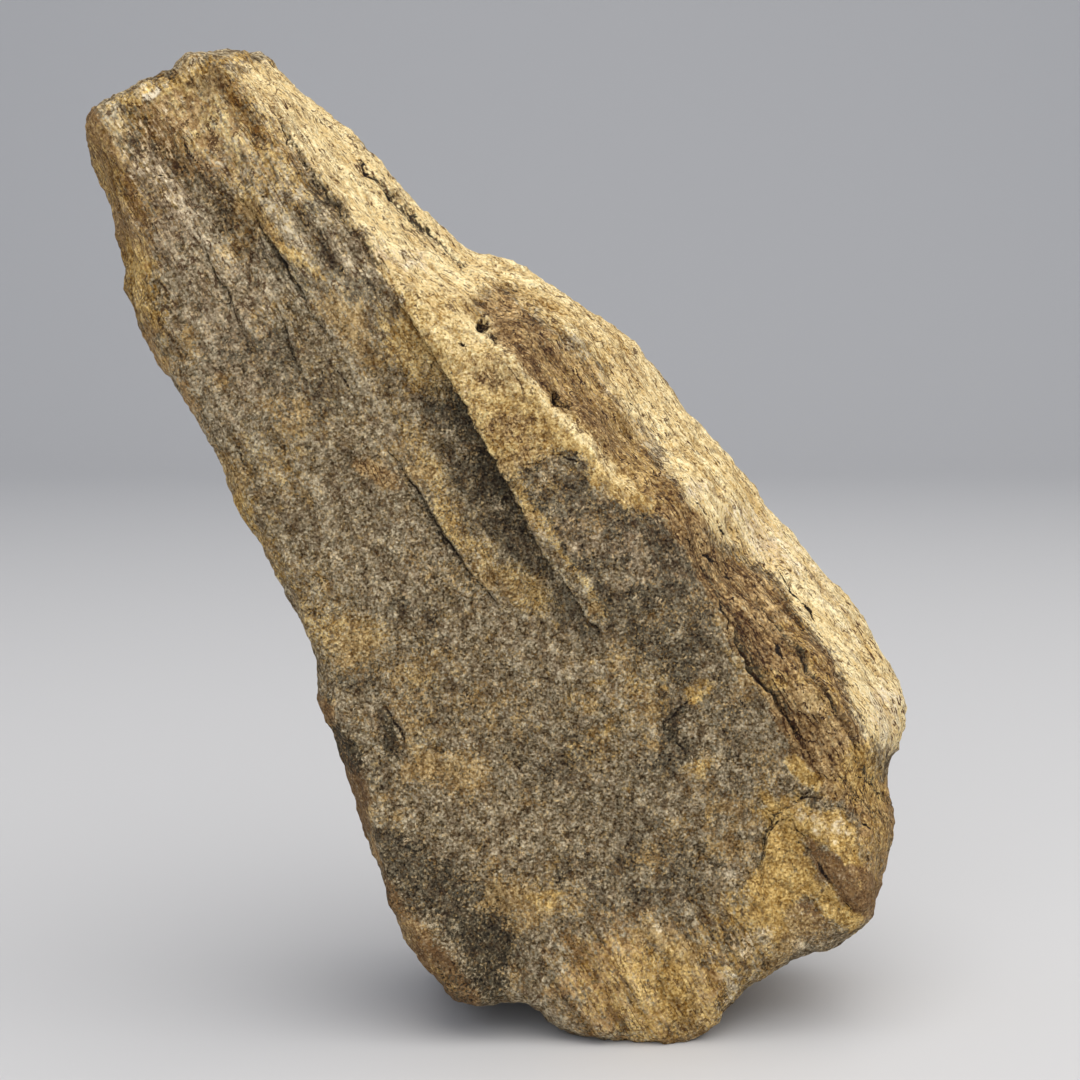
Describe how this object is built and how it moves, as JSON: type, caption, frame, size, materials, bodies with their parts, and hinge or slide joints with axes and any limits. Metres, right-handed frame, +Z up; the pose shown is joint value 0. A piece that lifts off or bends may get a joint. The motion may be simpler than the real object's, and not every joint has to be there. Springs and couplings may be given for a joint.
{
  "type": "chondrite meteorite",
  "caption": "Broken stony meteorite, a tall leaning wedge with a flat dark face, a stepped ledge and a pale slope down one edge.",
  "frame": {"origin": "on the ground, under the middle of the stone's box", "axes": "+Z up as the stone stands, +Y from its broad dark face to its back, +X to the right for someone facing that face"},
  "size_m": [0.1036, 0.04, 0.1192],
  "materials": {
    "stone": "rough broken stone, dark grey-brown with rust-ochre patches and a pale tan slope"
  },
  "bodies": {
    "root": {"meteorite": "stone"}
  },
  "joints": []
}
